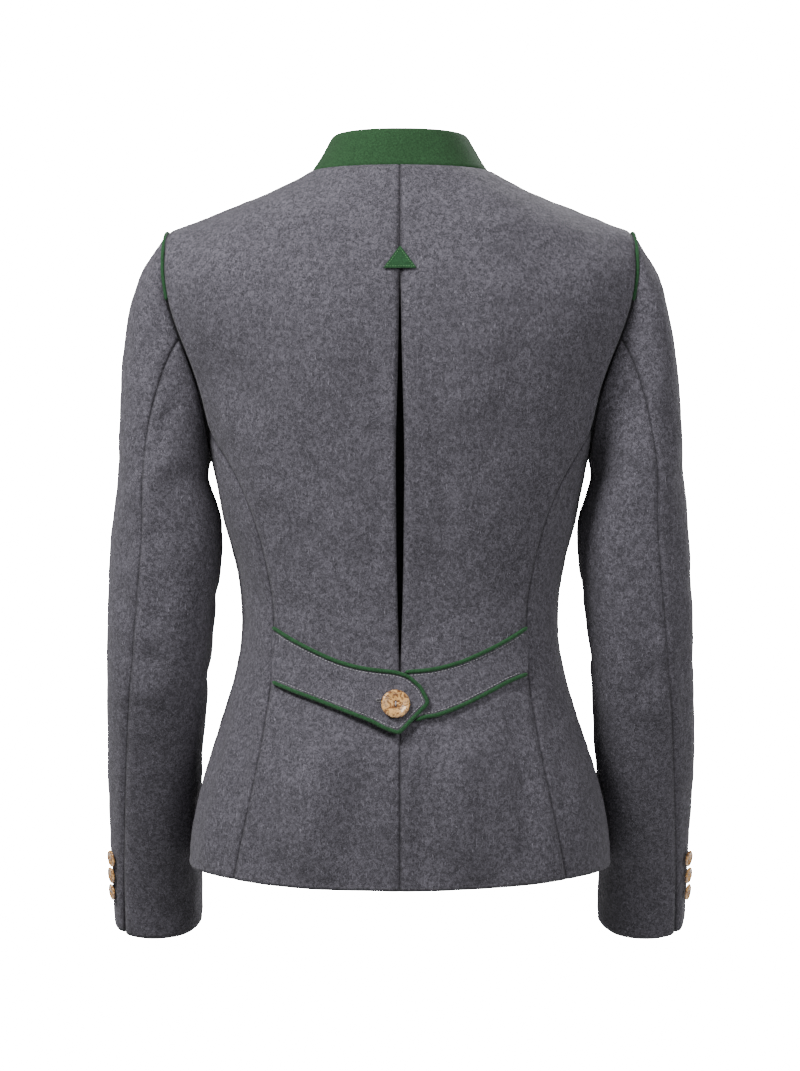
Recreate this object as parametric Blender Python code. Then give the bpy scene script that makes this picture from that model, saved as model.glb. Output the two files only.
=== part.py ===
"""A tyrolean loden jacket, filled out as it is worn, with nobody in it.

Metres, +Z up. The back faces -Y, the front faces +Y, and +X is the wearer's right.
The origin is the middle of the neck opening, level with the points where the collar
meets the shoulder seams, which is where the wearer's shoulders hold the jacket up.
"""

import math

import bmesh
import bpy
from mathutils import Vector

# Driving sizes of the jacket
CLOTH = 0.002  # thickness of the loden wall
FELT = 0.0015  # thickness of the green wool cloth
SEAM = 0.0003  # gap between two pieces sewn together
BACK_LENGTH = 0.599  # neck down to the hem at the centre back
SIDE_HEM = -0.587
FRONT_HEM = -0.597
FRONT_NECK = -0.055  # how low the neckline dips at the centre front
SHOULDER_TIP = -0.051  # height of the armhole's top
UNDERARM = -0.240  # height of the armhole's lowest point
ROUNDNESS = 2.3  # superellipse power of a level section of the body
ARMHOLE_BACK = math.radians(22)  # how far the armhole cuts into the back, seen from above
ARMHOLE_FRONT = math.radians(29)
COLLAR_BACK, COLLAR_FRONT = 0.029, 0.026  # height of the stand collar
LAP = 0.018  # how far the right front laps over the left past the centre
LAP_RISE = 0.0029  # how much further out the right front lies there
PIPING = 0.0015  # radius of the green piping
BELT_REACH = 0.1045  # half belt, from the centre to where the princess seams catch it
PLEAT_TOP, PLEAT_END = -0.0935, -0.4215
TAB_APEX, TAB_BASE, TAB_HALF = -0.0735, -0.0912, 0.0135
HEAD_STEPS = 10  # rows from the underarm up to the shoulder tip

# Level sections of the body: height, half width, reach back, reach front
BODY = (
    (-0.600, 0.1790, 0.1120, 0.1230),
    (-0.571, 0.1780, 0.1150, 0.1250),
    (-0.545, 0.1735, 0.1170, 0.1250),
    (-0.512, 0.1650, 0.1165, 0.1230),
    (-0.470, 0.1520, 0.1100, 0.1160),
    (-0.428, 0.1405, 0.0985, 0.1080),
    (-0.388, 0.1340, 0.0935, 0.1040),
    (-0.347, 0.1365, 0.0960, 0.1070),
    (-0.302, 0.1480, 0.1020, 0.1170),
    (-0.240, 0.1605, 0.1090, 0.1265),
    (-0.185, 0.1780, 0.1135, 0.1200),
    (-0.147, 0.1960, 0.1135, 0.1080),
    (-0.098, 0.2110, 0.1075, 0.0910),
    (-0.063, 0.2050, 0.0970, 0.0750),
    (-0.051, 0.1965, 0.0920, 0.0690),
    (-0.038, 0.1630, 0.0860, 0.0640),
    (-0.024, 0.1270, 0.0790, 0.0600),
    (-0.011, 0.0930, 0.0715, 0.0570),
    (0.000, 0.0745, 0.0640, 0.0550),
)

# Back princess seam: height, distance from the centre
PRINCESS = (
    (-0.600, 0.1380),
    (-0.553, 0.1300),
    (-0.487, 0.1170),
    (-0.424, 0.1066),
    (-0.384, 0.1048),
    (-0.333, 0.1115),
    (-0.2595, 0.1370),
)

# The pleat's opening at the centre back: height, width
PLEAT = (
    (PLEAT_END, 0.0003),
    (-0.400, 0.0016),
    (-0.360, 0.0042),
    (-0.300, 0.0060),
    (-0.240, 0.0068),
    (-0.205, 0.0052),
    (-0.160, 0.0028),
    (PLEAT_TOP, 0.0004),
)

# Half belt: distance from the centre, upper edge, lower edge of the left strap, of the right one
BELT = (
    (0.0000, -0.4225, -0.4690, -0.4690),
    (0.0240, -0.4205, -0.4600, -0.4580),
    (0.0480, -0.4147, -0.4505, -0.4485),
    (0.0720, -0.4045, -0.4415, -0.4370),
    (0.0900, -0.3950, -0.4350, -0.4275),
    (BELT_REACH, -0.3855, -0.4290, -0.4225),
)

# Sleeve below the armhole: height, middle across, half width, middle forward, half depth, hem tilt
SLEEVE = (
    (-0.262, 0.2010, 0.0385, 0.0000, 0.0600, 0.00),
    (-0.288, 0.1980, 0.0458, -0.0010, 0.0580, 0.02),
    (-0.316, 0.1978, 0.0482, -0.0020, 0.0560, 0.04),
    (-0.360, 0.2012, 0.0475, -0.0020, 0.0530, 0.08),
    (-0.408, 0.2045, 0.0452, 0.0010, 0.0505, 0.14),
    (-0.469, 0.2090, 0.0430, 0.0200, 0.0475, 0.22),
    (-0.520, 0.2110, 0.0412, 0.0380, 0.0455, 0.27),
    (-0.592, 0.2120, 0.0396, 0.0620, 0.0432, 0.32),
    (-0.641, 0.2105, 0.0380, 0.0750, 0.0420, 0.38),
)

# Elbow seam: height, angle from the sleeve's outer line round to the back, in degrees
ELBOW = ((-0.262, 72), (-0.316, 71), (-0.428, 66), (-0.520, 60), (-0.592, 52), (-0.641, 44))
VENT_TOP = -0.565


def eased(table, at, column):
    """A column of a table read at a height, on a smooth curve through the rows that never overshoots them."""
    rows = sorted(table)
    if at <= rows[0][0]:
        return rows[0][column]
    if at >= rows[-1][0]:
        return rows[-1][column]
    slopes = [
        (b[column] - a[column]) / (b[0] - a[0]) for a, b in zip(rows, rows[1:])
    ]
    tangents = [slopes[0]]
    for before, after in zip(slopes, slopes[1:]):
        tangents.append(0.0 if before * after <= 0 else 2 * before * after / (before + after))
    tangents.append(slopes[-1])
    i = next(i for i in range(len(slopes)) if at <= rows[i + 1][0])
    span = rows[i + 1][0] - rows[i][0]
    t = (at - rows[i][0]) / span
    return (
        (2 * t**3 - 3 * t**2 + 1) * rows[i][column]
        + (t**3 - 2 * t**2 + t) * span * tangents[i]
        + (3 * t**2 - 2 * t**3) * rows[i + 1][column]
        + (t**3 - t**2) * span * tangents[i + 1]
    )


def power(value, exponent):
    return math.copysign(abs(value) ** exponent, value)


def smooth(value):
    """Eases from 0 to 1 as the value goes from 0 to 1."""
    t = min(max(value, 0.0), 1.0)
    return t * t * (3 - 2 * t)


def body_point(turn, z):
    """A point of the body's outer face. turn is 0 at the centre back, a quarter at +X, a half at the front."""
    deep = eased(BODY, z, 2) if math.cos(turn) > 0 else eased(BODY, z, 3)
    return Vector(
        (
            eased(BODY, z, 1) * power(math.sin(turn), 2 / ROUNDNESS),
            -deep * power(math.cos(turn), 2 / ROUNDNESS),
            z,
        )
    )


def body(turn, z, out=0.0):
    """A point of the body, moved out along the body's own normal."""
    step, rise = 0.02, 0.004
    across = body_point(turn + step, z) - body_point(turn - step, z)
    up = body_point(turn, min(z + rise, 0.0)) - body_point(turn, z - rise)
    return body_point(turn, z) + out * across.cross(up).normalized()


def turn_at(x, z):
    """The turn at which the back lies at this distance across."""
    share = min(abs(x) / eased(BODY, z, 1), 1.0)
    return math.copysign(math.asin(share ** (ROUNDNESS / 2)), x)


def armhole_turn(z, cut, sign):
    """Where the armhole's edge runs at this height. sign is -1 for its back edge and +1 for its front edge."""
    share = 2 * (z - UNDERARM) / (SHOULDER_TIP - UNDERARM) - 1
    if abs(share) >= 1:
        return math.pi / 2
    rounding = 3.2 if share > 0 else 2.0
    return math.pi / 2 + sign * cut * (1 - abs(share) ** rounding) ** (1 / rounding)


def armhole_heights():
    """Row heights from the underarm up to the shoulder tip, closest together at both ends."""
    middle, half = (UNDERARM + SHOULDER_TIP) / 2, (SHOULDER_TIP - UNDERARM) / 2
    return [middle - half * math.cos(math.pi * i / HEAD_STEPS) for i in range(HEAD_STEPS + 1)]


def hem_height(turn):
    ends = FRONT_HEM if math.cos(turn) < 0 else -BACK_LENGTH
    return SIDE_HEM + (ends - SIDE_HEM) * math.cos(turn) ** 2


HEIGHTS = armhole_heights()
SKIRT_ROWS = 16  # rows of facets from the hem up to the underarm
SHOULDER_ROWS = (-0.038, -0.026, -0.013, 0.0)
SIDE = 2  # the armhole row where the back princess seam starts


def skirt_height(row, turn):
    low = hem_height(turn)
    return low + (UNDERARM - low) * row / SKIRT_ROWS


def princess_turn(z):
    top = HEIGHTS[SIDE]
    across = body_point(armhole_turn(top, ARMHOLE_BACK, -1), top).x
    return turn_at(eased(PRINCESS + ((top, across),), z, 1), z)


def drawn_in(row):
    """The row with each end moved in by half a seam's gap."""
    first = row[0] + (row[1] - row[0]).normalized() * SEAM / 2
    last = row[-1] + (row[-2] - row[-1]).normalized() * SEAM / 2
    return [first, *row[1:-1], last]


def mirrored(rows, side):
    return [[Vector((side * p.x, p.y, p.z)) for p in row] for row in rows]


def wall(name, outer, inner, material, ring=False):
    """A closed wall between two grids of points that match row by row."""
    shape = bmesh.new()
    faces_of = [[shape.verts.new(p) for p in row] for row in outer]
    backs_of = [[shape.verts.new(p) for p in row] for row in inner]
    rows, columns = len(outer), len(outer[0])
    for grid, turned in ((faces_of, False), (backs_of, True)):
        for i in range(rows - 1):
            for j in range(columns - 1):
                corners = [grid[i][j], grid[i][j + 1], grid[i + 1][j + 1], grid[i + 1][j]]
                shape.faces.new(corners[::-1] if turned else corners)
    edge = [(0, j) for j in range(columns)] + [(i, columns - 1) for i in range(1, rows)]
    edge += [(rows - 1, j) for j in range(columns - 2, -1, -1)] + [(i, 0) for i in range(rows - 2, 0, -1)]
    for (i, j), (k, m) in zip(edge, edge[1:] + edge[:1]):
        shape.faces.new((faces_of[k][m], faces_of[i][j], backs_of[i][j], backs_of[k][m]))
    bmesh.ops.recalc_face_normals(shape, faces=shape.faces)
    return finished(name, shape, material)


def finished(name, shape, material, place=None):
    mesh = bpy.data.meshes.new(name)
    shape.to_mesh(mesh)
    shape.free()
    mesh.materials.append(material)
    mesh.shade_smooth()
    mesh.set_sharp_from_angle(angle=math.radians(50))
    piece = bpy.data.objects.new(name, mesh)
    if place:
        piece.matrix_world = place
    bpy.context.scene.collection.objects.link(piece)
    return piece


def on_body(spots, side, out=0.0):
    """Rows of points from rows of (turn, height) spots, with the ends drawn in for the seams."""
    return mirrored([drawn_in([body(turn, z, out) for turn, z in row]) for row in spots], side)


def spread(low, high, count):
    return [low + (high - low) * i / count for i in range(count + 1)]


def back_panel(side, material):
    spots = []
    columns = 8
    for row in range(SKIRT_ROWS + 1):
        low = hem_height(0.2)
        z = low + (UNDERARM - low) * row / SKIRT_ROWS
        turns = spread(pleat_turn(z), princess_turn(z), columns)
        spots.append([(turn, skirt_height(row, turn)) for turn in turns])
    for i in range(SIDE, HEAD_STEPS + 1):
        z = HEIGHTS[i]
        turns = spread(pleat_turn(z), armhole_turn(z, ARMHOLE_BACK, -1), columns)
        spots.append([(turn, z) for turn in turns])
    for z in SHOULDER_ROWS:
        spots.append([(turn, z) for turn in spread(pleat_turn(z), math.pi / 2, columns)])
    name = "back_right" if side > 0 else "back_left"
    return wall(name, on_body(spots, side), on_body(spots, side, -CLOTH), material)


def pleat_turn(z):
    """Turn of the back panel's edge at the centre: the pleat's opening, or the plain seam."""
    width = eased(PLEAT, z, 1) if PLEAT_END < z < PLEAT_TOP else 0.0
    return turn_at(width / 2, z)


def side_panel(side, material):
    columns = 4
    spots = []
    for row in range(SKIRT_ROWS):
        low = hem_height(0.2)
        z = low + (UNDERARM - low) * row / SKIRT_ROWS
        turns = spread(princess_turn(z), math.pi / 2, columns)
        spots.append([(turn, skirt_height(row, turn)) for turn in turns])
    walls = []
    for out in (0.0, -CLOTH):
        edge = [
            body(armhole_turn(z, ARMHOLE_BACK, -1), z, out) for z in HEIGHTS[SIDE::-1]
        ]
        halves = [edge[0], (edge[0] + edge[1]) / 2, edge[1], (edge[1] + edge[2]) / 2, edge[2]]
        walls.append(on_body(spots, side, out) + mirrored([drawn_in(halves)], side))
    name = "side_right" if side > 0 else "side_left"
    return wall(name, walls[0], walls[1], material)


FRONT_COLUMNS = 7
RISE_NEAR = 0.036  # distance from the centre at which the right front starts to rise over the left one


def front_line(level, first, edges):
    """Spots across a front from its first turn to the distances of its edges, dipping towards the neck."""
    dip = FRONT_NECK * smooth((level + 0.13) / 0.13)
    centre = FRONT_COLUMNS + 2
    widest = body_point(first, level).x
    shares = [math.sin(turn) ** (2 / ROUNDNESS) for turn in spread(first, math.pi - 0.25, FRONT_COLUMNS)]
    spans = [(share - shares[-1]) / (shares[0] - shares[-1]) for share in shares]
    distances = [RISE_NEAR + (widest - RISE_NEAR) * span for span in spans] + list(edges)
    line = [(first, 0.0)]
    for j, x in enumerate(distances[1:], 1):
        down = dip * smooth(min(j / centre, 1.0))
        line.append((math.pi - turn_at(x, level + down), down))
    return line


def front_panel(side, material):
    """The right front laps over the left one: near its edge it lies one wall further out."""
    rise = LAP_RISE if side > 0 else 0.0
    edges = (0.024, 0.0, -LAP)
    spots = []
    for row in range(SKIRT_ROWS):
        level = SIDE_HEM + (UNDERARM - SIDE_HEM) * row / SKIRT_ROWS
        line = front_line(level, math.pi / 2, edges)
        spots.append([(turn, skirt_height(row, turn)) for turn, _ in line])
    for z in (*HEIGHTS, *SHOULDER_ROWS):
        first = math.pi / 2
        if UNDERARM < z < SHOULDER_TIP:
            first = armhole_turn(z, ARMHOLE_FRONT, 1)
        spots.append([(turn, z + dip) for turn, dip in front_line(z, first, edges)])
    lift = [0.0] * (FRONT_COLUMNS + 1) + [rise] * len(edges)

    def grid(out):
        made = [
            drawn_in([body(turn, z, out + up) for (turn, z), up in zip(line, lift)])
            for line in spots
        ]
        return mirrored(made, side)

    name = "front_right" if side > 0 else "front_left"
    return wall(name, grid(0.0), grid(-CLOTH), material)


HEAD_SHARES = (0.0, 0.08, 0.19, 0.33, 0.5, 0.68, 0.85)
INNER_SEAM = math.radians(255)  # the seam at the front of the sleeve's inner side


def sleeve_angle(j, z):
    """Angle of the sleeve's column j, from its outer line round by the back."""
    count, elbow, inner = 2 * HEAD_STEPS, HEAD_STEPS // 2, 3 * HEAD_STEPS // 2
    seam = math.radians(eased(ELBOW, z, 1))
    if j <= elbow:
        return seam * j / elbow
    if j <= inner:
        return seam + (INNER_SEAM - seam) * (j - elbow) / (inner - elbow)
    return INNER_SEAM + (2 * math.pi - INNER_SEAM) * (j - inner) / (count - inner)


def sleeve_point(angle, z):
    middle, half, forward, deep, tilt = (eased(SLEEVE, z, column) for column in range(1, 6))
    back = deep * power(math.sin(angle), 2 / ROUNDNESS)
    across = middle + half * power(math.cos(angle), 2 / ROUNDNESS)
    return Vector((across, forward - back, z - tilt * back))


def armhole_loop():
    """The armhole's edge from the shoulder tip down the back, under the arm and up the front."""
    loop = [body(armhole_turn(z, ARMHOLE_BACK, -1), z) for z in HEIGHTS[::-1]]
    return loop + [body(armhole_turn(z, ARMHOLE_FRONT, 1), z) for z in HEIGHTS[1:-1]]


def sleeve_leaves(angle):
    """Direction in which the sleeve leaves the armhole, by the angle round it from the shoulder tip."""
    outward = math.cos(angle / 2) ** 2
    return Vector((outward + 0.03, -0.30 * math.sin(angle), 0.84 * outward - 1)).normalized()


def sleeve_grid():
    """The whole sleeve's outer face as rows of rings, from the armhole to the hem of the cuff."""
    loop = armhole_loop()
    top, low = SLEEVE[0][0], SLEEVE[-1][0]
    rows = []
    for t in HEAD_SHARES:
        ring = []
        for j, start in enumerate(loop):
            end = sleeve_point(sleeve_angle(j, top), top)
            reach = (end - start).length
            ring.append(
                (2 * t**3 - 3 * t**2 + 1) * start
                + (t**3 - 2 * t**2 + t) * 0.52 * reach * sleeve_leaves(math.pi * j / HEAD_STEPS)
                + (3 * t**2 - 2 * t**3) * end
                + (t**3 - t**2) * reach * Vector((0, 0, -1))
            )
        rows.append(ring)
    for z in spread(top, low, 14):
        rows.append([sleeve_point(sleeve_angle(j, z), z) for j in range(len(loop))])
    rows[0] = [p + (q - p).normalized() * SEAM for p, q in zip(rows[0], rows[1])]
    return rows


def lined(rows):
    """The points one wall further in, on normals read from a grid of rings."""
    count = len(rows[0])
    inner = []
    for i, ring in enumerate(rows):
        above, below = rows[max(i - 1, 0)], rows[min(i + 1, len(rows) - 1)]
        line = []
        for j, point in enumerate(ring):
            across = ring[(j + 1) % count] - ring[j - 1]
            normal = (above[j] - below[j]).cross(across).normalized()
            line.append(point - CLOTH * normal)
        inner.append(line)
    return inner


def sleeve(side, material):
    outer = sleeve_grid()
    grids = (outer, lined(outer))
    count, elbow, last = 2 * HEAD_STEPS, HEAD_STEPS // 2, 3 * HEAD_STEPS // 2
    word = "right" if side > 0 else "left"
    halves = {"under": range(elbow, last + 1), "top": (*range(last, count), *range(elbow + 1))}
    for half, columns in halves.items():
        at, beside = (0, 1) if half == "under" else (-1, -2)
        walls = []
        for grid in grids:
            rows = []
            for ring in grid:
                row = drawn_in([ring[j] for j in columns])
                open_by = 0.0016 * smooth((VENT_TOP - ring[0].z) / 0.08)
                row[at] = row[at] + (row[beside] - row[at]).normalized() * open_by
                rows.append(row)
            walls.append(mirrored(rows, side))
        wall(f"sleeve_{half}_{word}", walls[0], walls[1], material)


def neckline():
    """The neck's edge from the centre front round the left, the back and the right, as (turn, height) spots."""
    half = [(turn, 0.0) for turn in spread(0.0, math.pi / 2, 9)]
    half += front_line(0.0, math.pi / 2, (0.024, 0.003))[1:]
    return [(-turn, z) for turn, z in half[:0:-1]] + half


COLLAR_CLEAR = 0.0011  # how far over the neckline's facets the collar starts


def collar(material):
    """A stand collar: a band that stands on the neckline and leans in towards its upper edge."""
    grids = []
    for out in (0.0, -CLOTH):
        rows = []
        for share in (0.0, 0.33, 0.66, 1.0):
            row = []
            for turn, z in neckline():
                base = body_point(abs(turn), z)
                tall = COLLAR_FRONT + (COLLAR_BACK - COLLAR_FRONT) * math.cos(turn / 2) ** 2
                lean = share**0.85
                direct = Vector((base.x * 0.9, base.y, 0)).normalized()
                x = base.x * (1 - 0.22 * lean) + out * direct.x
                y = base.y * (1 - 0.09 * lean) + out * direct.y
                row.append(Vector((math.copysign(x, turn), y, z + COLLAR_CLEAR + tall * share)))
            rows.append(row)
        grids.append(rows)
    return wall("collar", grids[0], grids[1], material)


def pleat_underlay(material):
    """The cloth behind the pleat's opening, near the panels at its edges and deep at the centre."""
    half, near, deep = 0.030, 0.0034, 0.0130
    grids = []
    for extra in (0.0, CLOTH):
        rows = []
        for z in spread(PLEAT_END - 0.008, PLEAT_TOP + 0.006, 14):
            row = []
            for x in spread(-half, half, 8):
                inward = near + (deep - near) * math.cos(math.pi / 2 * x / half) ** 2
                row.append(body(turn_at(x, z), z, -inward - extra))
            rows.append(row)
        grids.append(rows)
    return wall("pleat_underlay", grids[0], grids[1], material)


LIFT = 0.0008  # what lies on a panel keeps this much off it, for the facets' sake
LAPPED = CLOTH + 0.0008  # how much further out the left strap lies where it crosses the right one
STRAP_STEP = 0.0095

# The left strap's pointed end: upper edge across and up, lower edge across and up
STRAP_END = (
    (-0.0040, -0.4226, -0.0230, -0.4602),
    (0.0060, -0.4258, -0.0130, -0.4655),
    (0.0155, -0.4345, -0.0060, -0.4680),
    (0.0216, -0.4467, -0.0012, -0.4696),
)


def strap_columns(side):
    """Columns of a strap from the princess seam to its end at the centre, as (upper spot, lower spot)."""
    last = -0.020 if side > 0 else 0.014
    column = 3 if side > 0 else 2
    count = round((BELT_REACH - abs(last)) / STRAP_STEP)
    columns = []
    for x in spread(BELT_REACH, abs(last), count):
        columns.append(((side * x, eased(BELT, x, 1)), (side * x, eased(BELT, x, column))))
    if side > 0:
        inner = [((x, eased(BELT, abs(x), 1)), (x, eased(BELT, abs(x), 3))) for x in (0.010, 0.0, -0.010, last)]
        return columns + inner
    return columns[:-1] + [((a, b), (c, d)) for a, b, c, d in STRAP_END]


def strap_lift(x, side):
    """The left strap rises over the right one near the centre."""
    return LIFT if side > 0 else LIFT + LAPPED * smooth((x + 0.052) / 0.026)


def back_spot(x, z, out):
    """A point over the back at a distance across and a height."""
    point = body(turn_at(abs(x), z), z, out)
    return Vector((math.copysign(point.x, x), point.y, point.z))


def strap(side, material):
    grids = []
    for up in (CLOTH, 0.0):
        rows = []
        for share in (1.0, 0.5, 0.0):
            row = []
            for (xt, zt), (xb, zb) in strap_columns(side):
                x, z = xb + (xt - xb) * share, zb + (zt - zb) * share
                row.append(back_spot(x, z, up + strap_lift(x, side)))
            rows.append(row)
        grids.append(rows)
    name = "belt_right" if side > 0 else "belt_left"
    return wall(name, grids[0], grids[1], material)


def cord(name, points, material):
    """A round piping through the points, closed at both ends."""
    line = bpy.data.curves.new(name, "CURVE")
    line.dimensions = "3D"
    line.bevel_depth = PIPING
    line.bevel_resolution = 1
    line.use_fill_caps = True
    line.materials.append(material)
    spline = line.splines.new("POLY")
    spline.points.add(len(points) - 1)
    for knot, point in zip(spline.points, points):
        knot.co = (*point, 1)
    piece = bpy.data.objects.new(name, line)
    bpy.context.scene.collection.objects.link(piece)
    return piece


def beside(edge, distance):
    """The flat line (x, z) moved to its left by a distance."""
    moved = []
    for i, (x, z) in enumerate(edge):
        ax, az = edge[max(i - 1, 0)]
        bx, bz = edge[min(i + 1, len(edge) - 1)]
        along = Vector((bx - ax, bz - az)).normalized()
        moved.append((x - along.y * distance, z + along.x * distance))
    return moved


def strap_pipings(material):
    clear = PIPING + 0.0005
    for side in (-1, 1):
        columns = strap_columns(side)
        upper, lower = [c[0] for c in columns], [c[1] for c in columns]
        if side < 0:
            (tx, tz), (bx, bz) = upper[-1], lower[-1]
            end = [((tx + bx) / 2, (tz + bz) / 2)]
            lines = {"belt_left_piping": beside(upper + end + lower[::-1], clear)}
        else:
            # The right strap's piping shows only where the left strap doesn't cover it
            upper = [spot for spot in upper if spot[0] > 0.010]
            lower = [spot for spot in lower if spot[0] > 0.016]
            lines = {
                "belt_right_piping_top": beside(upper, -clear),
                "belt_right_piping_bottom": beside(lower, clear),
            }
        for name, line in lines.items():
            cord(name, [back_spot(x, z, strap_lift(x, side) + PIPING) for x, z in line], material)


def across_line(direction, along):
    """The part of a direction that is square to a line, as a unit vector."""
    return (direction - along * direction.dot(along)).normalized()


def armhole_piping(side, material):
    """Green piping in the armhole seam, from the front over the shoulder and down the back."""
    loop, first = armhole_loop(), sleeve_grid()[1]
    count = len(loop)
    clear = PIPING + 0.0007
    points = []
    for j in range(-4, 5):
        seam = loop[j % count]
        along = (loop[(j + 1) % count] - loop[(j - 1) % count]).normalized()
        cut, sign = (ARMHOLE_FRONT, 1) if j < 0 else (ARMHOLE_BACK, -1)
        neck_side = body_point(armhole_turn(seam.z, cut, sign) + sign * 0.08, seam.z + 0.006)
        inward = across_line(neck_side - seam, along)
        leaving = across_line(first[j % count] - seam, along)
        normal = along.cross(inward)
        normal = normal if normal.dot(seam - Vector((0.1, 0, -0.25))) > 0 else -normal
        middle = inward + leaving
        if middle.length < 0.3 or middle.dot(normal) < 0:
            points.append(seam + normal * clear)
        else:
            points.append(seam + middle.normalized() * clear / math.sin(inward.angle(leaving) / 2))
    name = "armhole_piping_right" if side > 0 else "armhole_piping_left"
    return cord(name, mirrored([points], side)[0], material)


def pleat_tab(material):
    """The triangle of green cloth that holds the top of the pleat."""
    grids = []
    for out in (LIFT + FELT, LIFT):
        rows = []
        for share in (0.0, 0.34, 0.67, 1.0):
            z = TAB_APEX + (TAB_BASE - TAB_APEX) * share
            half = 0.0006 + (TAB_HALF - 0.0006) * share
            rows.append([back_spot(x, z, out) for x in spread(-half, half, 4)])
        grids.append(rows)
    return wall("pleat_tab", grids[0], grids[1], material)


def button(name, spot, normal, across, material):
    """A turned horn button: a raised rim round a shallow dish, and a flat back."""
    radius, thick = across / 2, across * 0.16
    shape = bmesh.new()
    outline = (
        (0.0, 0.0),
        (radius * 0.86, 0.0),
        (radius, thick * 0.4),
        (radius * 0.95, thick * 0.85),
        (radius * 0.82, thick),
        (radius * 0.55, thick * 0.62),
        (0.0, thick * 0.55),
    )
    line = [shape.verts.new((r, 0, h)) for r, h in outline]
    edges = [shape.edges.new(pair) for pair in zip(line, line[1:])]
    bmesh.ops.spin(
        shape, geom=line + edges, axis=(0, 0, 1), cent=(0, 0, 0),
        angle=math.tau, steps=20, use_merge=True,
    )
    bmesh.ops.remove_doubles(shape, verts=shape.verts, dist=1e-6)
    bmesh.ops.recalc_face_normals(shape, faces=shape.faces)
    place = normal.to_track_quat("Z", "Y").to_matrix().to_4x4()
    place.translation = spot
    return finished(name, shape, material, place)


def belt_button(material):
    x, z = -0.0035, -0.4483
    under = LIFT + LAPPED + CLOTH
    base = back_spot(x, z, under + 0.0006)
    button("belt_button", base, (back_spot(x, z, 1) - base).normalized(), 0.024, material)


def front_buttons(material):
    """Buttons down the right front's lap, on the centre line."""
    for i in range(6):
        z = -0.085 - 0.074 * i
        base, tip = body(math.pi, z, LAP_RISE + 0.0006), body(math.pi, z, 0.05)
        button(f"front_button_{i + 1}", base, (tip - base).normalized(), 0.020, material)


def cuff_buttons(side, material):
    """Three buttons in a close row beside the cuff's vent."""
    word = "right" if side > 0 else "left"
    for i in range(3):
        z = -0.579 - 0.0152 * i
        angle = math.radians(eased(ELBOW, z, 1) - 22)
        here = sleeve_point(angle, z)
        round_it = sleeve_point(angle + 0.05, z) - sleeve_point(angle - 0.05, z)
        along = sleeve_point(angle, z + 0.01) - sleeve_point(angle, z - 0.01)
        normal = along.cross(round_it).normalized()
        if normal.x < 0:
            normal.negate()
        base = here + normal * 0.0012
        flip = Vector((side, 1, 1))
        button(f"cuff_button_{word}_{i + 1}", base * flip, normal * flip, 0.0145, material)


def finish(name, colour, roughness, sheen=0.0):
    material = bpy.data.materials.new(name)
    material.use_nodes = True
    shader = material.node_tree.nodes["Principled BSDF"]
    shader.inputs["Base Color"].default_value = (*colour, 1)
    shader.inputs["Roughness"].default_value = roughness
    shader.inputs["Metallic"].default_value = 0.0
    shader.inputs["Sheen Weight"].default_value = sheen
    return material


def main():
    for thing in list(bpy.data.objects):
        bpy.data.objects.remove(thing)
    loden = finish("loden", (0.103, 0.099, 0.112), 0.95, 0.4)
    green = finish("green_cloth", (0.036, 0.078, 0.042), 0.9, 0.3)
    horn = finish("horn", (0.38, 0.23, 0.13), 0.4)
    for side in (-1, 1):
        back_panel(side, loden)
        side_panel(side, loden)
        front_panel(side, loden)
        sleeve(side, loden)
        strap(side, loden)
        armhole_piping(side, green)
        cuff_buttons(side, horn)
    pleat_underlay(loden)
    collar(green)
    strap_pipings(green)
    pleat_tab(green)
    belt_button(horn)
    front_buttons(horn)


main()
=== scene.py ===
"""The looks of a tyrolean loden jacket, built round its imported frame."""

import math

import bmesh
import bpy
import numpy as np
from bpy.props import FloatProperty, FloatVectorProperty, IntProperty, PointerProperty
from mathutils import Matrix, Vector, kdtree


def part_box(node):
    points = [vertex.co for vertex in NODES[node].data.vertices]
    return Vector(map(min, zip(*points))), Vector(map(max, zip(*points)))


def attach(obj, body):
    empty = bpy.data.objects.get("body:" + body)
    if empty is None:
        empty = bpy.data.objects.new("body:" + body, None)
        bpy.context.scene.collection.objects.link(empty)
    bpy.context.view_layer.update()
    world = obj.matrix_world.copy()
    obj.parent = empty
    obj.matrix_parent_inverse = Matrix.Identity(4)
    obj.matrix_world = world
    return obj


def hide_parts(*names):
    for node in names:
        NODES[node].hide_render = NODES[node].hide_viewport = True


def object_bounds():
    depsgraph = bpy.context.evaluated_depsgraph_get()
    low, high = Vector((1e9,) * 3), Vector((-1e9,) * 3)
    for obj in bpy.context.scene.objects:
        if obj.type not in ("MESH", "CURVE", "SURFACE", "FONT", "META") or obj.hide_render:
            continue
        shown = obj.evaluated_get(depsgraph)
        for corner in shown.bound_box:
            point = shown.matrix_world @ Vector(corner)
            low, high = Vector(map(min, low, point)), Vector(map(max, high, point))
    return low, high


bl_info = {
    "name": "Loden jacket",
    "version": (1, 0, 0),
    "blender": (4, 5, 0),
    "location": "View3D > Sidebar > Jacket",
    "description": "Dresses the frame of a loden jacket in cloth, piping, stitching and horn buttons",
    "category": "Add Mesh",
}

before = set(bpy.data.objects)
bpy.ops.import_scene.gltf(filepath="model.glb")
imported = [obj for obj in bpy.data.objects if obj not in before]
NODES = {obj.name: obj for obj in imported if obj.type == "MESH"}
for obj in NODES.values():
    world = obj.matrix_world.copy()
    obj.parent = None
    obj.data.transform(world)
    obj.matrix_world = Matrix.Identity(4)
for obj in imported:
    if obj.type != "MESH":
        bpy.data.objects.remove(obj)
CAD_BOX = [list(corner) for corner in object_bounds()]
WALL = 0.002  # thickness of the loden
FELT = 0.0015  # thickness of the tab's cloth
ROOT = "root"

# Finding and mending the outer face of a wall
SHARP = math.radians(62)  # a steeper edge parts two faces of a cloth wall
MOST_PINCHED, RELAX_STEPS = 8, 6
SHOULDER_LOW, SHOULDER_INNER, SHOULDER_PRESSES = -0.085, 0.095, 4

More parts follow.
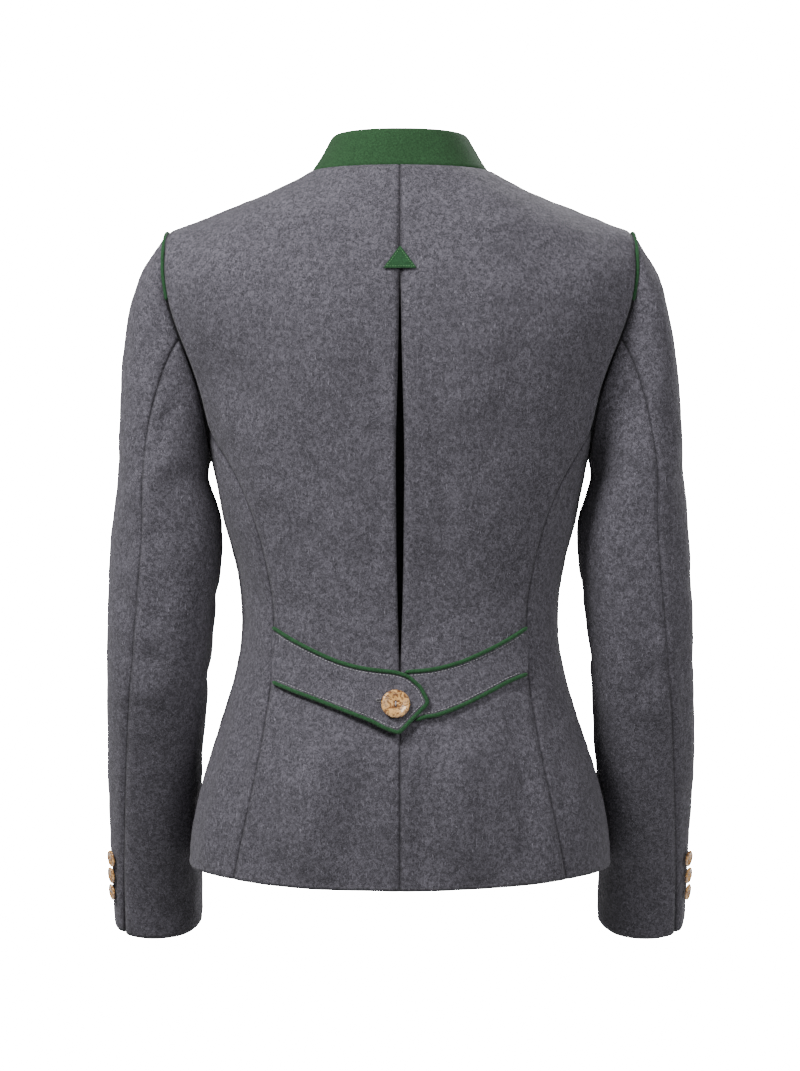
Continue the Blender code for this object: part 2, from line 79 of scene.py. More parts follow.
# Seams and the cloth's unevenness, in metres
# SEAM_SHADE is how far the painted shade along a seam reaches
SEAM_WIDTH, SEAM_SHADE = 0.0024, 0.0017
PUFF_AWAY, PUFF_WIDTH, PUCKER_LENGTH = 0.0065, 0.0045, 0.014
CALM_WIDTH = 0.012  # folds die out this close to a seam
WAVES = 14
BOW = 0.06
HEM = -0.584  # open edges of the body below this are hems
CUFF = -0.640
SLIT_TOP, SLIT_END = -0.096, -0.421
ALLOWANCE = ((0.0006, 0.0010), (0.0010, 0.0016), (0.0004, 0.0022))  # outwards and under
UPWARDS = 0.7  # an open edge with its cloth this squarely above it is a hem
LIP = ((0.0001, 0.0010), (0.0007, 0.0022), (0.0013, 0.0032))  # sideways and inwards
COLLAR_FOOT = ((0.0014, 0.0002), (0.0014, 0.0006))  # outwards and under
SIDES = {"back": (1, -1), "front": (1, 1), "left": (0, -1), "right": (0, 1)}

# The belt and the pipings, in metres
STRAP_SEWN, PIPING_OVER = 0.0035, 0.003  # a strap's end in its seam, and the piping's reach past it
STRAP_RISE = 0.45  # how fast the middle of a strap rises towards the side
TUCK_START, TUCK_LENGTH, TUCK_TOP, TUCK_HIGH, TUCK_RISE = 0.034, 0.020, -0.446, 0.012, 0.0044
STITCH_INSET, PIPING_INSET = (0.0020, 0.0002), (-0.0010, 0.0004)  # inwards and out of the cloth
BELT_STITCH = (0.0022, 0.0006, 0.00034)  # length, gap and radius
PIPING_RADIUS = 0.0017
ARMHOLE_GAP = 0.006  # body cloth this near a sleeve is on the armhole
ROLL_SUNK, ROLL_SIZE = 0.0038, 0.0034
PIPING_ASIDE, PIPING_PROUD = 0.0012, 0.0004
END_TAPER = 0.35

# The stage
SKY_LIGHT, SKY_SEEN = 0.27, 30.0
FLOOR_DROP, FLOOR_GLOW = 0.70, 2.4
FLOOR_SHADES = ((0.86, 0.86, 0.86), (0.89, 0.89, 0.89))
CAMERA_LENS = 102.8
CAMERA_PLACE = (0.0, -2.6, -0.309)


# Shader maths


class Wire:
    """A value that varies over a surface. Arithmetic on it adds Math nodes."""

    def __init__(self, paint, socket):
        self.paint, self.socket = paint, socket

    def math(self, operation, other):
        return self.paint.node("ShaderNodeMath", {"operation": operation}, {0: self, 1: other})

    def __add__(self, other):
        return self.math("ADD", other)

    def __mul__(self, other):
        return self.math("MULTIPLY", other)

    __radd__ = __add__
    __rmul__ = __mul__

    def ramp(self, low, high):
        """Eases from 0 where the value is low to 1 where it is high."""
        settings = {"interpolation_type": "SMOOTHSTEP"}
        inputs = {"Value": self, "From Min": low, "From Max": high}
        return self.paint.node("ShaderNodeMapRange", settings, inputs)


class Paint:
    """A material under construction."""

    def __init__(self, name, roughness, sheen=0.0, sheen_roughness=0.5, specular=0.3):
        self.material = bpy.data.materials.new(name)
        self.material.use_nodes = True
        self.tree = self.material.node_tree
        self.shader = self.tree.nodes["Principled BSDF"]
        self.shader.inputs["Roughness"].default_value = roughness
        self.shader.inputs["Sheen Weight"].default_value = sheen
        self.shader.inputs["Sheen Roughness"].default_value = sheen_roughness
        self.shader.inputs["Specular IOR Level"].default_value = specular
        self.place = self.node("ShaderNodeTexCoord", output="Object")

    def node(self, kind, settings=None, inputs=None, output=0):
        made = self.tree.nodes.new(kind)
        for key, value in (settings or {}).items():
            setattr(made, key, value)
        for key, value in (inputs or {}).items():
            self.feed(made.inputs[key], value)
        return Wire(self, made.outputs[output])

    def feed(self, socket, value):
        if isinstance(value, Wire):
            self.tree.links.new(value.socket, socket)
        else:
            socket.default_value = value

    def stretched(self, scale, turn=(0.0, 0.0, 0.0)):
        """The object's coordinates, turned and stretched."""
        inputs = {"Vector": self.place, "Scale": scale, "Rotation": turn}
        return self.node("ShaderNodeMapping", None, inputs)

    def noise(self, scale, detail=2.0, rough=0.5, where=None, bend=0.0):
        inputs = {
            "Vector": where or self.place,
            "Scale": scale,
            "Detail": detail,
            "Roughness": rough,
            "Distortion": bend,
        }
        return self.node("ShaderNodeTexNoise", None, inputs)

    def mix(self, share, first, second):
        colours = [c if isinstance(c, Wire) else (*c, 1.0) for c in (first, second)]
        inputs = {0: share, 6: colours[0], 7: colours[1]}
        return self.node("ShaderNodeMix", {"data_type": "RGBA"}, inputs, 2)

    def finish(self, colour, height, distance, strength=1.0, rough=None):
        """Wires up the colour and the bump and gives the material."""
        self.feed(self.shader.inputs["Base Color"], colour)
        bump = self.node("ShaderNodeBump", None, {"Height": height, "Distance": distance, "Strength": strength})
        self.feed(self.shader.inputs["Normal"], bump)
        if rough:
            self.feed(self.shader.inputs["Roughness"], rough)
        return self.material


def tinted(colour, factor):
    return tuple(c * factor for c in colour)


def loden_material(name, colour, depth=1.0):
    """Fulled wool: grey fibres of several shades, matted, with pale hairs lying across them, and painted shade
    darkening it along the seams.
    """
    paint = Paint(name, 0.95, sheen=0.07, sheen_roughness=0.5, specular=0.12)
    cloud = paint.noise(34, 3, 0.6)
    mottle = paint.noise(290, 4, 0.72, bend=0.9)
    tufts = paint.noise(620, 3, 0.65, bend=0.6)
    grain = paint.noise(1500, 2, 0.6)
    hairs = []
    for turn, stretch in ((0.5, 0.0), (-0.7, 1.3), (1.35, 2.4)):
        where = paint.stretched((1150, 1150, 170), (stretch, turn, 0.4))
        hairs.append(paint.noise(1.0, 3, 0.55, where, 1.1).ramp(0.60, 0.74))
    pale = hairs[0] + hairs[1] + hairs[2]
    shade = paint.mix(mottle.ramp(0.42, 0.60), tinted(colour, 0.42), tinted(colour, 1.55))
    shade = paint.mix(tufts.ramp(0.38, 0.62) * 0.62, shade, tinted(colour, 0.34))
    shade = paint.mix(grain.ramp(0.44, 0.68) * 0.55, shade, tinted(colour, 2.3))
    shade = paint.mix(cloud.ramp(0.35, 0.70) * 0.20, shade, tinted(colour, 0.66))
    shade = paint.mix((pale * 0.55).ramp(0.0, 1.0), shade, tinted(colour, 3.9))
    # Painted shade: near a seam the colour darkens, as the shadow in the seam's groove would
    seam = paint.node("ShaderNodeAttribute", {"attribute_name": "seam"}, output=2)
    shade = paint.mix(seam.ramp(0.30, 1.0) * 0.48, shade, tinted(colour, 0.16))
    height = mottle * 0.5 + tufts * 0.6 + grain * 0.35 + pale * 0.25
    return paint.finish(shade, height, 0.0008 * depth, 0.8)


def wool_material(name, colour, scale=1.0):
    """Closely felted green wool cloth, with a few paler and darker fibres."""
    paint = Paint(name, 0.9, sheen=0.08, sheen_roughness=0.5, specular=0.12)
    cloud = paint.noise(60 * scale, 3, 0.6)
    felt = paint.noise(900 * scale, 3, 0.65, bend=0.7)
    hair = paint.noise(1.0, 2, 0.5, paint.stretched((2100, 2100, 420), (0.4, 0.9, 0.2)), 0.8)
    shade = paint.mix(felt.ramp(0.35, 0.66), tinted(colour, 0.62), tinted(colour, 1.30))
    shade = paint.mix(cloud.ramp(0.35, 0.7) * 0.25, shade, tinted(colour, 0.7))
    shade = paint.mix(hair.ramp(0.6, 0.74) * 0.4, shade, tinted(colour, 2.3))
    return paint.finish(shade, felt * 0.7 + hair * 0.3, 0.0005, 0.6)


def horn_material(name, pale, dark):
    """Stag horn: tan, clouded with brown along the grain, with paler flecks."""
    paint = Paint(name, 0.38, specular=0.5)
    where = paint.stretched((170, 170, 250), (0.3, 0.2, 0.7))
    cloud = paint.noise(1.0, 4, 0.55, where, 1.8)
    fleck = paint.noise(700, 3, 0.6, bend=0.5)
    vein = paint.noise(1.0, 3, 0.6, paint.stretched((520, 190, 640), (0.5, 0.3, 0.2)), 1.4)
    shade = paint.mix(cloud.ramp(0.40, 0.57), tinted(dark, 2.2), pale)
    shade = paint.mix(vein.ramp(0.56, 0.68) * 0.8, shade, dark)
    shade = paint.mix(fleck.ramp(0.58, 0.78) * 0.45, shade, tinted(pale, 1.25))
    rough = cloud.ramp(0.3, 0.7) * 0.15 + 0.24
    return paint.finish(shade, cloud * 0.5 + fleck * 0.2, 0.0003, 0.5, rough)


def thread_material(name, colour):
    """Twisted sewing thread."""
    paint = Paint(name, 0.6, sheen=0.1, specular=0.3)
    twist = paint.noise(3200, 2, 0.5)
    shade = paint.mix(twist.ramp(0.35, 0.65), tinted(colour, 0.7), tinted(colour, 1.15))
    return paint.finish(shade, twist, 0.0001, 0.5)


# Shapes


def copied(name):
    """The node's mesh, with doubled points merged."""
    shape = bmesh.new()
    shape.from_mesh(NODES[name].data)
    bmesh.ops.remove_doubles(shape, verts=shape.verts, dist=2e-5)
    shape.normal_update()
    return shape


def from_body(centre, _middle):
    """Outwards from the wearer's own upright line."""
    return centre - Vector((0.0, 0.0, centre.z))


def from_middle(centre, middle):
    """Outwards from the middle of the piece."""
    return centre - middle


def to_back(_centre, _middle):
    """Towards the back."""
    return Vector((0.0, -1.0, 0.0))


def outer_skin(name, outwards):
    """The outer face of a cloth wall: the part of the mesh that no sharp edge cuts off."""
    shape = copied(name)
    left, skins = set(shape.faces), []
    while left:
        reached = [left.pop()]
        skin = set(reached)
        while reached:
            for edge in reached.pop().edges:
                if len(edge.link_faces) == 2 and edge.calc_face_angle(0) < SHARP:
                    fresh = [f for f in edge.link_faces if f in left]
                    left.difference_update(fresh)
                    skin.update(fresh)
                    reached.extend(fresh)
        skins.append(skin)
    skins.sort(key=lambda skin: sum(f.calc_area() for f in skin), reverse=True)

    def faces_out(skin):
        areas = {f: f.calc_area() for f in skin}
        middle = sum((f.calc_center_median() * a for f, a in areas.items()), Vector()) / sum(areas.values())
        return sum(f.normal.dot(outwards(f.calc_center_median(), middle)) * a for f, a in areas.items())

    outer = max(skins[:2], key=faces_out)
    bmesh.ops.delete(shape, geom=[f for f in shape.faces if f not in outer], context="FACES")
    # A pinched triangle left out at the shoulder is filled, and its surroundings are relaxed
    mended = bmesh.ops.holes_fill(shape, edges=[e for e in shape.edges if e.is_boundary], sides=MOST_PINCHED)["faces"]
    if mended:
        near = {v for f in mended for v in f.verts}
        near |= {e.other_vert(v) for v in list(near) for e in v.link_edges}
        loose = [v for v in near if not v.is_boundary]
        for _ in range(RELAX_STEPS):
            bmesh.ops.smooth_vert(shape, verts=loose, factor=0.6, use_axis_x=True, use_axis_y=True, use_axis_z=True)
        bmesh.ops.triangulate(shape, faces=mended)
    bmesh.ops.join_triangles(
        shape, faces=shape.faces, angle_face_threshold=math.radians(60), angle_shape_threshold=math.radians(60)
    )
    # The cloth over the point of the shoulder is pressed smooth, and the head of the sleeve with it
    point = [v for v in shape.verts if not v.is_boundary and v.co.z > SHOULDER_LOW and abs(v.co.x) > SHOULDER_INNER]
    for _ in range(SHOULDER_PRESSES):
        bmesh.ops.smooth_vert(shape, verts=point, factor=0.5, use_axis_x=True, use_axis_y=True, use_axis_z=True)
    return shape


def subdivided(shape, levels):
    """The shape smoothed by subdivision, as a plain mesh."""
    mesh = bpy.data.meshes.new("rough")
    shape.to_mesh(mesh)
    shape.free()
    holder = bpy.data.objects.new("rough", mesh)
    bpy.context.scene.collection.objects.link(holder)
    finer = holder.modifiers.new("Subdivision", "SUBSURF")
    finer.levels = finer.render_levels = levels
    finer.boundary_smooth = "PRESERVE_CORNERS"
    graph = bpy.context.evaluated_depsgraph_get()
    fine = bpy.data.meshes.new_from_object(holder.evaluated_get(graph))
    bpy.data.objects.remove(holder)
    bpy.data.meshes.remove(mesh)
    return fine


def numbers(collection, key):
    """A vector attribute of each item, as rows."""
    values = np.empty(len(collection) * 3)
    collection.foreach_get(key, values)
    return values.reshape(-1, 3)


def sewn_spots(mesh, spots, hem):
    """The points along the open edges of a mesh, apart from the level ones below the hem's height."""
    ends = np.empty(len(mesh.edges) * 2, np.int32)
    mesh.edges.foreach_get("vertices", ends)
    used = np.empty(len(mesh.loops), np.int32)
    mesh.loops.foreach_get("edge_index", used)
    ends = ends.reshape(-1, 2)[np.bincount(used, minlength=len(mesh.edges)) == 1]
    run = spots[ends[:, 1]] - spots[ends[:, 0]]
    level = np.abs(run[:, 2]) < 0.5 * np.linalg.norm(run, axis=1)
    low = spots[ends].max(axis=1)[:, 2] < hem
    return spots[np.unique(ends[~(level & low)])]


def distance_to(targets, spots):
    """How far each spot is from the nearest target."""
    if not len(targets):
        return np.full(len(spots), 1.0)
    tree = kdtree.KDTree(len(targets))
    for index, spot in enumerate(targets):
        tree.insert(spot, index)
    tree.balance()
    return np.array([tree.find(spot)[2] for spot in spots])


def field(spots, length, seed):
    """Uneven ground between about -2 and 2: seeded waves of about this length, summed."""
    draw = np.random.default_rng(seed)
    total = np.zeros(len(spots))
    for _ in range(WAVES):
        way = draw.normal(size=3)
        way *= math.tau / (length * draw.uniform(0.7, 1.5) * np.linalg.norm(way))
        total += np.sin(spots @ way + draw.uniform(0, math.tau))
    return total / math.sqrt(WAVES)


def creases(spots, normals, table):
    """Listed folds. Each runs between two spots on one side of the garment, as
    (side, across, height, across, height, rise, width): a rise below nought is a trough.
    A side is "back" or "front", seen in x and z, or "left" or "right", seen in y and z."""
    total = np.zeros(len(spots))
    for side, u0, z0, u1, z1, rise, width in table:
        axis, sign = SIDES[side]
        seen = spots[:, [1 - axis, 2]]
        start, run = np.array([u0, z0]), np.array([u1 - u0, z1 - z0])
        along = np.clip((seen - start) @ run / (run @ run), 0, 1)
        # The line bows a little, so that no fold is ruled straight
        square = np.array([-run[1], run[0]]) * BOW * np.sign(u0 + z0 + 0.37)
        nearest = start + along[:, None] * run + (np.sin(along * math.pi))[:, None] * square
        away = np.linalg.norm(seen - nearest, axis=1)
        ends = np.sin(np.clip(along, 0.0, 1.0) * math.pi) ** 0.6
        facing = np.clip(normals[:, axis] * sign * 1.8 - 0.15, 0, 1)
        total += rise * np.exp(-((away / width) ** 2)) * ends * facing
    return total


def shaped(mesh, settings, table, seam_reach=1.0, hem=-1.0, stiff=1.0):
    """Moves the cloth out and in: seams drawn down, folds, and the softness of worn wool. Also records nearness to a
    seam, for painted shade along the seams.
    """
    spots, normals = numbers(mesh.vertices, "co"), numbers(mesh.vertices, "normal")
    away = distance_to(sewn_spots(mesh, spots, hem), spots)
    pucker = 1 + 0.45 * field(spots, PUCKER_LENGTH, 5)
    out = -settings.seam_depth * seam_reach * np.exp(-((away / SEAM_WIDTH) ** 2))
    out += settings.seam_puff * seam_reach * np.exp(-(((away - PUFF_AWAY) / PUFF_WIDTH) ** 2)) * pucker
    calm = 1 - np.exp(-((away / CALM_WIDTH) ** 2))
    out += settings.softness * stiff * field(spots, 0.11, 1) * calm
    out += settings.softness * 0.30 * stiff * field(spots, 0.032, 2) * calm
    out += settings.softness * 0.10 * field(spots, 0.011, 3) * calm
    out += creases(spots, normals, table) * settings.fold_depth * (0.35 + 0.65 * calm)
    spots += normals * out[:, None]
    mesh.vertices.foreach_set("co", spots.ravel())
    mesh.update()
    # How near each point is to a seam: the loden reads it to paint shade along the seams
    near = mesh.attributes.new("seam", "FLOAT", "POINT")
    near.data.foreach_set("value", np.exp(-((away / SEAM_SHADE) ** 2)) * min(seam_reach, 1.0))
    return mesh


def thickened(obj, thickness):
    """Gives the cloth its thickness, inwards from the face that was shaped."""
    wall = obj.modifiers.new("Thickness", "SOLIDIFY")
    wall.thickness = thickness
    wall.offset = -1.0
    wall.use_even_offset = False


def finished_mesh(obj, material, smooth=True):
    obj.data.materials.clear()
    obj.data.materials.append(material)
    obj.data.polygons.foreach_set("use_smooth", [smooth] * len(obj.data.polygons))


def piece(name, mesh, material, nodes=(), smooth=True):
    """An object of this mesh, riding on the garment and standing for its nodes."""
    obj = bpy.data.objects.new(name, mesh)
    bpy.context.scene.collection.objects.link(obj)
    finished_mesh(obj, material, smooth)
    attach(obj, ROOT)
    if nodes:
        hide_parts(*nodes)
    return obj


def tube(name, path, radius, material, nodes=(), sides=8, flat=1.0, facing=None):
    """A round or flattened cord of cloth or thread along a path, with rounded ends."""
    shape = bmesh.new()
    rings, count = [], len(path)
    for index, spot in enumerate(path):
        ahead = (path[min(index + 1, count - 1)] - path[max(index - 1, 0)]).normalized()
        out = facing[index] if facing else Vector((0.0, -1.0, 0.0))
        across = ahead.cross(out).normalized()
        out = across.cross(ahead)
        turn = Matrix((across, out * flat, ahead)).transposed().to_4x4()
        turn.translation = spot
        shrink = END_TAPER if index in (0, count - 1) else 1.0
        made = bmesh.ops.create_circle(shape, segments=sides, radius=radius * shrink, cap_ends=False, matrix=turn)
        rings.append(made["verts"])
    for first, second in zip(rings, rings[1:]):
        for step in range(sides):
            after = (step + 1) % sides
            shape.faces.new((first[step], first[after], second[after], second[step]))
    shape.faces.new(rings[0][::-1])
    shape.faces.new(rings[-1])
    bmesh.ops.recalc_face_normals(shape, faces=shape.faces)
    mesh = bpy.data.meshes.new(name)
    shape.to_mesh(mesh)
    shape.free()
    return piece(name, mesh, material, nodes)


def stitch_row(name, path, facing, length, gap, radius, material, slot):
    """A row of sewn stitches: short thread grains that sink into the cloth at their ends."""
    shape = bmesh.new()
    travelled, needed, start = 0.0, 0.0, None
    for (here, there), out in zip(zip(path, path[1:]), facing):
        span = (there - here).length
        while needed <= travelled + span:
            spot = here.lerp(there, (needed - travelled) / span if span else 0)
            if start is None:
                start, needed = spot, needed + length
            else:
                middle, way = (start + spot) / 2, spot - start
                across = way.normalized().cross(out).normalized()
                lift = across.cross(way.normalized()).normalized()
                grain = Matrix((way / 2, across * radius, lift * radius)).transposed().to_4x4()
                grain.translation = middle
                bmesh.ops.create_icosphere(shape, subdivisions=1, radius=1.0, matrix=grain)
                start, needed = None, needed + gap
        travelled += span
    bmesh.ops.recalc_face_normals(shape, faces=shape.faces)
    mesh = bpy.data.meshes.new(name)
    shape.to_mesh(mesh)
    shape.free()
    return piece(name, mesh, material)


# Sizes and colours that a user may change


class JacketSettings(bpy.types.PropertyGroup):
    loden: FloatVectorProperty(
        name="Loden", description="Grey of the wool", subtype="COLOR", size=3, default=(0.085, 0.080, 0.095)
    )
    green: FloatVectorProperty(
        name="Green", description="Green of the collar", subtype="COLOR", size=3, default=(0.022, 0.064, 0.025)
    )
    braid: FloatVectorProperty(
        name="Piping",
        description="Green of the piping and the tab",
        subtype="COLOR",
        size=3,
        default=(0.019, 0.068, 0.026),
    )
    horn_pale: FloatVectorProperty(
        name="Pale horn", description="Worn parts of a button", subtype="COLOR", size=3, default=(0.74, 0.41, 0.14)
    )
    horn_dark: FloatVectorProperty(
        name="Dark horn", description="Grain of a button", subtype="COLOR", size=3, default=(0.085, 0.036, 0.013)
    )
    green_thread: FloatVectorProperty(
        name="Green thread", description="Stitching of the tab", subtype="COLOR", size=3, default=(0.10, 0.24, 0.10)
    )
    grey_thread: FloatVectorProperty(
        name="Grey thread", description="Stitching of the belt", subtype="COLOR", size=3, default=(0.36, 0.35, 0.38)
    )
    seam_depth: FloatProperty(
        name="Seam depth", description="How far a seam draws the cloth in", unit="LENGTH", default=0.0011
    )
    seam_puff: FloatProperty(
        name="Seam puff", description="How far the cloth swells beside a seam", unit="LENGTH", default=0.0005
    )
    softness: FloatProperty(
        name="Softness", description="Size of the cloth's slow unevenness", unit="LENGTH", default=0.0012
    )
    fold_depth: FloatProperty(
        name="Folds", description="Strength of the hand-placed folds", subtype="FACTOR", default=1.7
    )
    fineness: IntProperty(name="Fineness", description="Subdivision levels of the panels", default=3, min=1, max=3)


MATERIALS = {}


def finish_of(settings, key):
    """The material of one finish, made once."""
    if key not in MATERIALS:
        makers = {
            "loden": lambda: loden_material("loden", tuple(settings.loden)),
            # Loden darkened to a tenth: painted shade for the cloth deep in the pleat's slit and in the armholes'
            # joins
            "shaded": lambda: loden_material("loden in the pleat", tinted(settings.loden, 0.10)),
            "collar": lambda: wool_material("collar felt", tuple(settings.green)),
            "braid": lambda: wool_material("green piping", tuple(settings.braid)),
            "horn": lambda: horn_material("stag horn", tuple(settings.horn_pale), tuple(settings.horn_dark)),
            "green_thread": lambda: thread_material("green thread", tuple(settings.green_thread)),
            "grey_thread": lambda: thread_material("grey thread", tuple(settings.grey_thread)),
            # Near-black: painted shadow in a buttonhole's slit
            "shadow": lambda: thread_material("slit of a buttonhole", (0.008, 0.008, 0.009)),
        }
        MATERIALS[key] = makers[key]()
    return MATERIALS[key]


# The folds of the body, in metres, as creases() reads them
BODY_FOLDS = (
    # Drawn from the armholes towards the shoulder blades and the waist
    ("back", -0.166, -0.148, -0.118, -0.226, -0.0018, 0.013),
    ("back", -0.158, -0.182, -0.100, -0.282, 0.0017, 0.016),
    ("back", -0.150, -0.236, -0.112, -0.318, -0.0013, 0.010),
    ("back", 0.168, -0.140, 0.126, -0.232, -0.0015, 0.012),
    ("back", 0.156, -0.188, 0.108, -0.270, 0.0019, 0.017),
    ("back", 0.149, -0.246, 0.118, -0.306, -0.0012, 0.009),
    # Across the shoulders, below the collar
    ("back", -0.098, -0.040, -0.030, -0.062, 0.0012, 0.016),
    ("back", 0.104, -0.046, 0.036, -0.060, 0.0010, 0.014),
    ("back", -0.066, -0.085, -0.046, -0.205, 0.0016, 0.021),
    ("back", 0.072, -0.098, 0.050, -0.236, 0.0018, 0.023),
    # Beside the pleat
    ("back", -0.020, -0.150, -0.026, -0.350, -0.0014, 0.010),
    ("back", 0.023, -0.180, 0.028, -0.372, -0.0012, 0.011),
    # The waist
    ("back", -0.128, -0.352, -0.070, -0.372, -0.0011, 0.009),
    ("back", 0.126, -0.362, 0.082, -0.348, -0.0012, 0.008),
    ("back", -0.122, -0.398, -0.086, -0.406, 0.0009, 0.008),
    # Flares of the skirt
    ("back", -0.058, -0.470, -0.070, -0.590, 0.0034, 0.017),
    ("back", -0.028, -0.492, -0.033, -0.598, -0.0022, 0.013),
    ("back", -0.106, -0.452, -0.124, -0.590, -0.0021, 0.015),
    ("back", 0.050, -0.474, 0.062, -0.592, 0.0030, 0.016),
    ("back", 0.088, -0.448, 0.104, -0.588, -0.0024, 0.014),
    ("back", 0.018, -0.500, 0.022, -0.596, -0.0016, 0.010),
    ("back", 0.132, -0.462, 0.150, -0.580, 0.0019, 0.013),
    ("back", -0.146, -0.470, -0.166, -0.584, 0.0024, 0.012),
    # The fronts
    ("front", -0.152, -0.188, -0.084, -0.238, -0.0016, 0.013),
    ("front", -0.140, -0.226, -0.092, -0.330, 0.0014, 0.016),
    ("front", 0.150, -0.180, 0.094, -0.244, -0.0018, 0.014),
    ("front", 0.138, -0.240, 0.088, -0.318, 0.0013, 0.015),
    ("front", -0.104, -0.392, -0.040, -0.378, -0.0014, 0.010),
    ("front", 0.110, -0.386, 0.046, -0.396, -0.0012, 0.011),
    ("front", -0.070, -0.450, -0.086, -0.588, 0.0030, 0.018),
    ("front", 0.058, -0.462, 0.070, -0.590, 0.0027, 0.016),
    ("front", -0.120, -0.470, -0.136, -0.586, -0.0022, 0.013),
    ("front", 0.108, -0.456, 0.126, -0.584, -0.0026, 0.014),
    ("front", -0.034, -0.110, -0.056, -0.186, 0.0012, 0.015),
    ("front", 0.050, -0.100, 0.064, -0.196, 0.0010, 0.017),
    # The sides
    ("left", 0.010, -0.430, 0.018, -0.588, 0.0022, 0.013),
    ("left", -0.030, -0.450, -0.038, -0.586, -0.0018, 0.012),
    ("right", 0.006, -0.440, 0.012, -0.588, 0.0024, 0.014),
    ("right", 0.036, -0.436, 0.046, -0.586, -0.0019, 0.012),
)

SLEEVE_FOLDS = (
    # Drawn from the armpit and the sleeve head
    ("back", -0.196, -0.146, -0.216, -0.240, 0.0022, 0.010),
    ("back", -0.184, -0.196, -0.222, -0.262, -0.0020, 0.009),
    ("back", -0.182, -0.236, -0.228, -0.296, 0.0016, 0.010),
    ("back", -0.190, -0.300, -0.236, -0.334, -0.0015, 0.009),
    ("back", 0.198, -0.132, 0.214, -0.226, 0.0019, 0.010),
    ("back", 0.184, -0.184, 0.224, -0.244, -0.0022, 0.010),
    ("back", 0.182, -0.228, 0.230, -0.278, 0.0018, 0.009),
    ("back", 0.192, -0.288, 0.238, -0.330, -0.0014, 0.010),
    # The elbow
    ("back", -0.242, -0.352, -0.198, -0.386, -0.0017, 0.008),
    ("back", -0.246, -0.398, -0.192, -0.416, -0.0019, 0.009),
    ("back", -0.240, -0.440, -0.196, -0.436, 0.0013, 0.010),
    ("back", 0.240, -0.366, 0.200, -0.392, -0.0015, 0.009),
    ("back", 0.246, -0.408, 0.196, -0.430, -0.0018, 0.008),
    ("back", 0.238, -0.456, 0.198, -0.450, 0.0014, 0.010),
    # The lower sleeve
    ("back", -0.226, -0.490, -0.214, -0.600, 0.0012, 0.012),
    ("back", 0.222, -0.500, 0.212, -0.610, 0.0013, 0.012),
    ("front", -0.206, -0.150, -0.220, -0.236, -0.0016, 0.010),
    ("front", -0.192, -0.206, -0.230, -0.270, 0.0018, 0.010),
    ("front", -0.198, -0.352, -0.238, -0.392, -0.0020, 0.009),
    ("front", -0.196, -0.400, -0.240, -0.414, 0.0015, 0.009),
    ("front", 0.206, -0.144, 0.222, -0.230, -0.0015, 0.011),
    ("front", 0.194, -0.200, 0.232, -0.258, 0.0017, 0.010),
    ("front", 0.198, -0.360, 0.240, -0.384, -0.0019, 0.009),
    ("front", 0.194, -0.410, 0.238, -0.436, 0.0016, 0.009),
    ("left", 0.018, -0.120, 0.006, -0.226, -0.0014, 0.011),
    ("left", -0.012, -0.350, 0.044, -0.372, -0.0015, 0.009),
    ("left", -0.006, -0.408, 0.050, -0.402, -0.0013, 0.008),
    ("right", 0.020, -0.128, 0.004, -0.240, -0.0015, 0.012),
    ("right", -0.008, -0.362, 0.046, -0.356, -0.0014, 0.009),
    ("right", -0.004, -0.420, 0.052, -0.440, -0.0016, 0.009),
)

# The sides of the garment, and the sign of x on each
SIDE_NAMES = {"left": -1, "right": 1}


def lipped(mesh, sign):
    """Turns the edge of the pleat under: the fold that lines the slit."""
    shape = bmesh.new()
    shape.from_mesh(mesh)
    edges = [e for e in shape.edges if e.is_boundary and all(map(on_slit, e.verts))]
    for sideways, inwards in LIP:
        made = bmesh.ops.extrude_edge_only(shape, edges=edges)["geom"]
        fresh = {g for g in made if isinstance(g, bmesh.types.BMVert)}
        bmesh.ops.translate(shape, vec=(sign * sideways, inwards, 0), verts=list(fresh))
        edges = [g for g in made if isinstance(g, bmesh.types.BMEdge) and all(v in fresh for v in g.verts)]
    shape.to_mesh(mesh)
    shape.free()
    return mesh


def turned_under(mesh, steps, wanted):
    """Turns the sewn edges under, so that neighbours meet behind the seam line and no gap shows light."""
    shape = bmesh.new()
    shape.from_mesh(mesh)
    shape.normal_update()
    ways, edges = {}, []
    for edge in shape.edges:
        if not edge.is_boundary:
            continue
        loop = edge.link_loops[0]
        start, end = loop.vert, loop.link_loop_next.vert
        inward = loop.face.normal.cross(end.co - start.co).normalized()
        if wanted(start, inward) and wanted(end, inward):
            edges.append(edge)
            for vert in edge.verts:
                ways.setdefault(tuple(vert.co), []).append((inward, loop.face.normal.copy()))
    for outwards, under in steps:
        made = bmesh.ops.extrude_edge_only(shape, edges=edges)["geom"]
        fresh = {g for g in made if isinstance(g, bmesh.types.BMVert)}
        moved = {}
        for vert in fresh:
            way = ways[tuple(vert.co)]
            inward = sum((w for w, _ in way), Vector()) / len(way)
            normal = sum((n for _, n in way), Vector()).normalized()
            vert.co -= inward * outwards + normal * under
            moved[tuple(vert.co)] = way
        ways = moved
        edges = [g for g in made if isinstance(g, bmesh.types.BMEdge) and all(v in fresh for v in g.verts)]
    shape.to_mesh(mesh)
    shape.free()
    return mesh


def on_slit(vert):
    return abs(vert.co.x) < 0.008 and vert.co.y < 0 and SLIT_END < vert.co.z < SLIT_TOP


def cloth_panel(settings, kind, side, outwards, folds, hem):
    name = f"{kind}_{side}"
    mesh = subdivided(outer_skin(name, outwards), settings.fineness)
    mesh = shaped(mesh, settings, folds, hem=hem)
    if kind == "back":
        mesh = lipped(mesh, SIDE_NAMES[side])

    def sewn(vert, inward):
        return (vert.co.z > hem or inward.z < UPWARDS) and not on_slit(vert)

    mesh = turned_under(mesh, ALLOWANCE, sewn)
    obj = piece(f"loden_{name}", mesh, finish_of(settings, "loden"), [name])
    thickened(obj, WALL)


